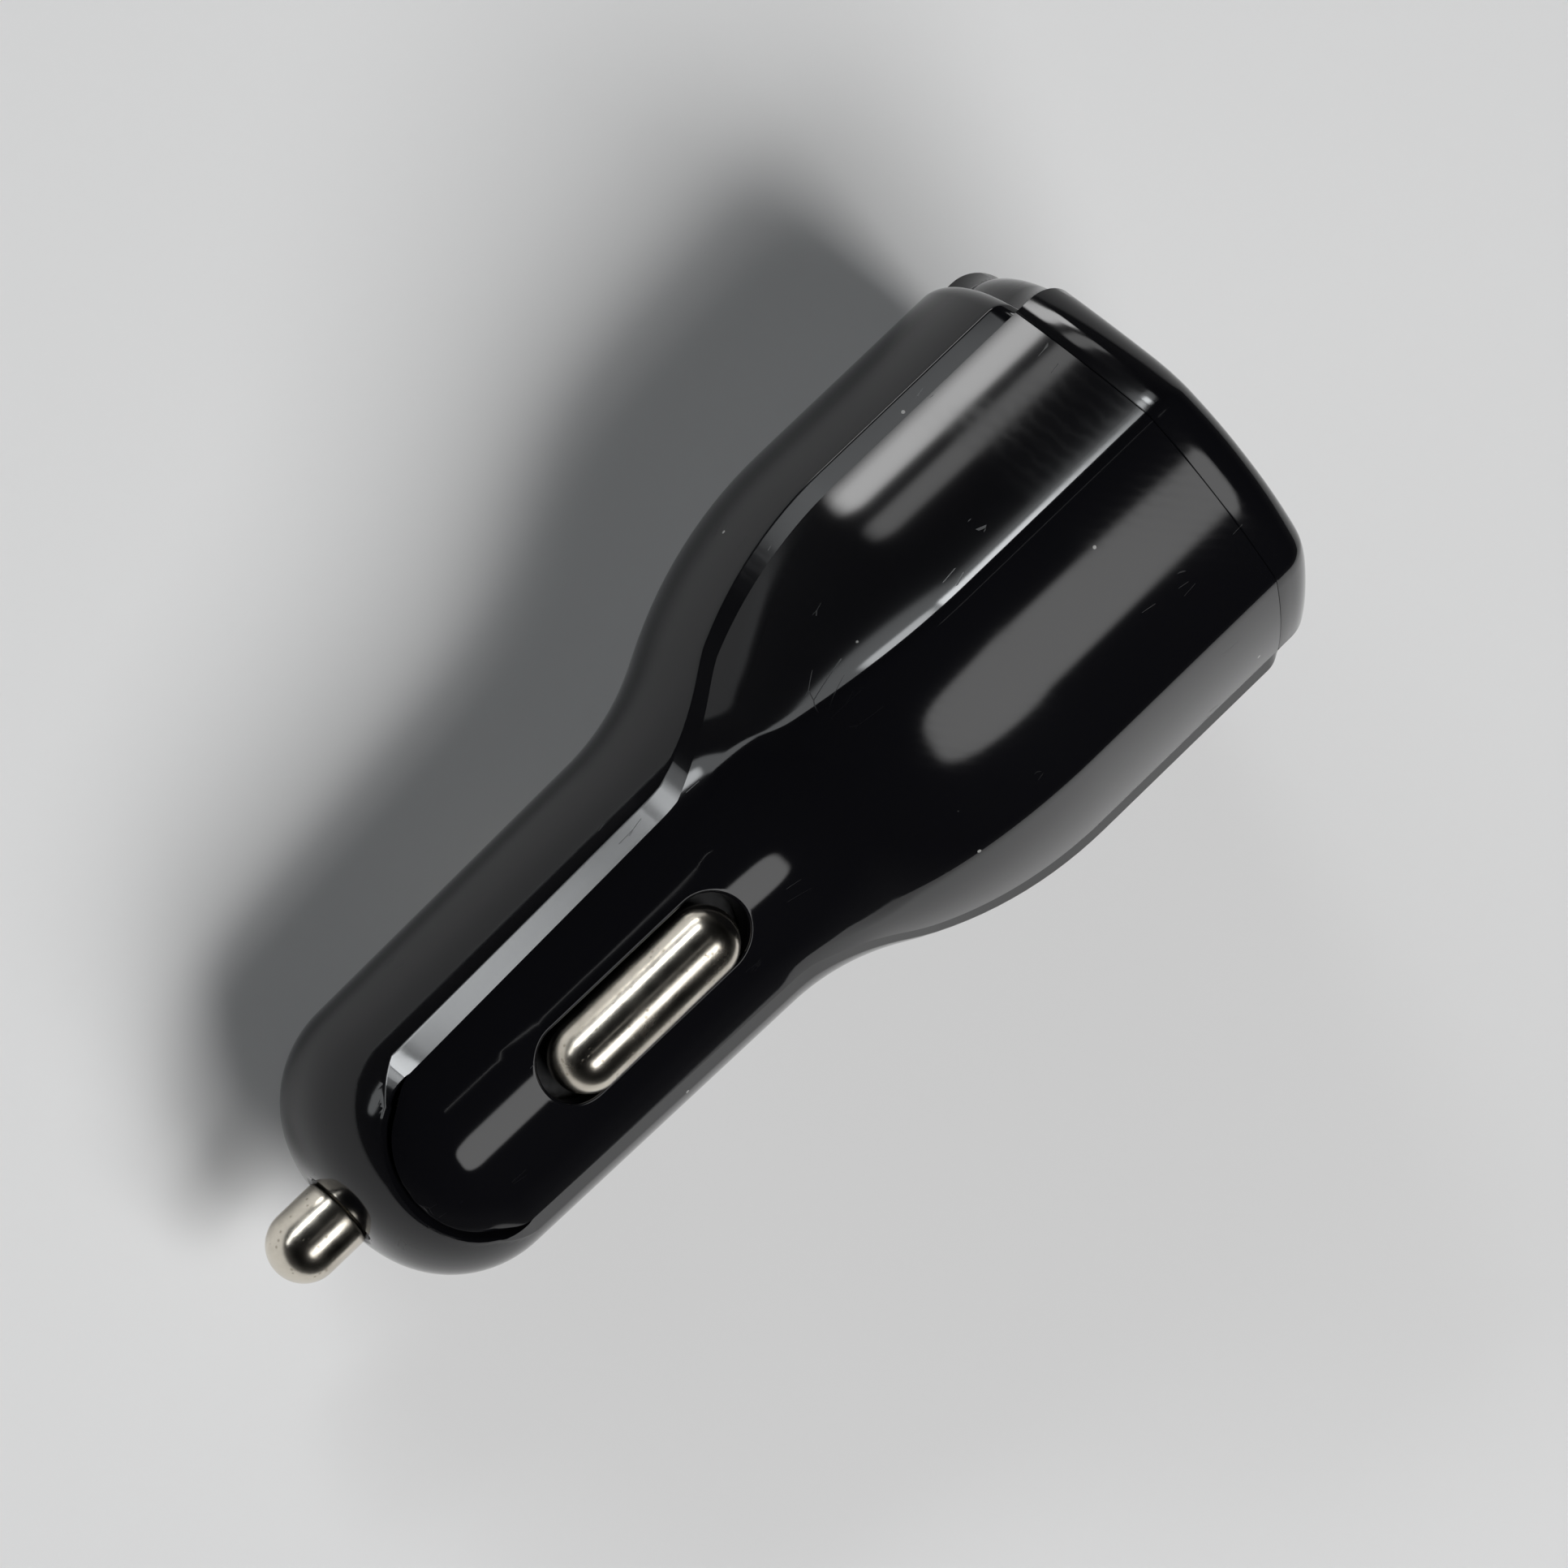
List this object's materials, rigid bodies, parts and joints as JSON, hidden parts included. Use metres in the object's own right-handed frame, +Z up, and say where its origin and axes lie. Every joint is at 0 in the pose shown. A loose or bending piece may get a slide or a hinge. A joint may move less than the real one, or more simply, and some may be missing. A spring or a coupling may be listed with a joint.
{
  "type": "car usb charger plug",
  "caption": "Flared car charger plug for a 12 V socket, with a sprung centre pin, sprung side contacts and USB ports in its port face.",
  "frame": {"origin": "on the surface the plug lies on, under the middle of its length and width", "axes": "+X from the centre pin toward the port face along the surface, +Y across the centre frame, +Z up; the plug lies on one side shell, so its own long axis slopes 8.25 degrees up toward the port face"},
  "size_m": [0.0796, 0.0326, 0.0356],
  "materials": {
    "gloss_black": "moulded, high gloss, light scuffs",
    "nickel": "nickel plate, satin gloss, small pits",
    "socket_steel": "tin plate, satin",
    "tongue_plastic": "matte",
    "gold": "gold flash, polished",
    "board_green": "solder mask, satin",
    "capacitor_sleeve": "shrink sleeve",
    "ferrite": "sintered, matte",
    "copper": "enamelled wire",
    "chip_black": "moulded epoxy",
    "ceramic": "ceramic body",
    "brass_seat": "plain brass",
    "spring_steel": "drawn wire",
    "spring_bronze": "rolled strip"
  },
  "bodies": {
    "plug": {"centre_frame": "gloss_black", "side_shell_upper": "gloss_black", "side_shell_lower": "gloss_black", "front_bezel": "gloss_black", "usb_shell_1": "socket_steel", "usb_shell_2": "socket_steel", "usb_tongue_1": "tongue_plastic", "usb_tongue_2": "tongue_plastic", "usb_contacts_1": "gold", "usb_contacts_2": "gold", "port_board": "board_green", "main_board": "board_green", "input_capacitor": "capacitor_sleeve", "output_capacitor": "capacitor_sleeve", "inductor_core": "ferrite", "inductor_winding": "copper", "converter_chip": "chip_black", "charge_chip": "chip_black", "rectifier_diode": "chip_black", "fuse": "ceramic", "spring_seat": "brass_seat", "pin_spring": "spring_steel", "ground_spring_upper": "spring_bronze", "ground_spring_lower": "spring_bronze"},
    "pin": {"centre_pin": "nickel"},
    "upper_contact": {"ground_contact_upper": "nickel"},
    "lower_contact": {"ground_contact_lower": "nickel"}
  },
  "joints": [
    {"name": "centre_pin_press", "type": "slide", "parent": "plug", "child": "pin", "axis": [0.9897, 0, 0.1434], "range_m": [0, 0.0025], "stiffness_N_per_m": 1000, "springref_m": -0.0015, "deforming": ["pin_spring"]},
    {"name": "upper_contact_press", "type": "slide", "parent": "plug", "child": "upper_contact", "axis": [0.1434, 0, -0.9897], "range_m": [0, 0.0012], "stiffness_N_per_m": 1000, "springref_m": -0.0008, "deforming": ["ground_spring_upper"]},
    {"name": "lower_contact_press", "type": "slide", "parent": "plug", "child": "lower_contact", "axis": [-0.1434, 0, 0.9897], "range_m": [0, 0.0012], "stiffness_N_per_m": 1000, "springref_m": -0.0008, "deforming": ["ground_spring_lower"]}
  ]
}
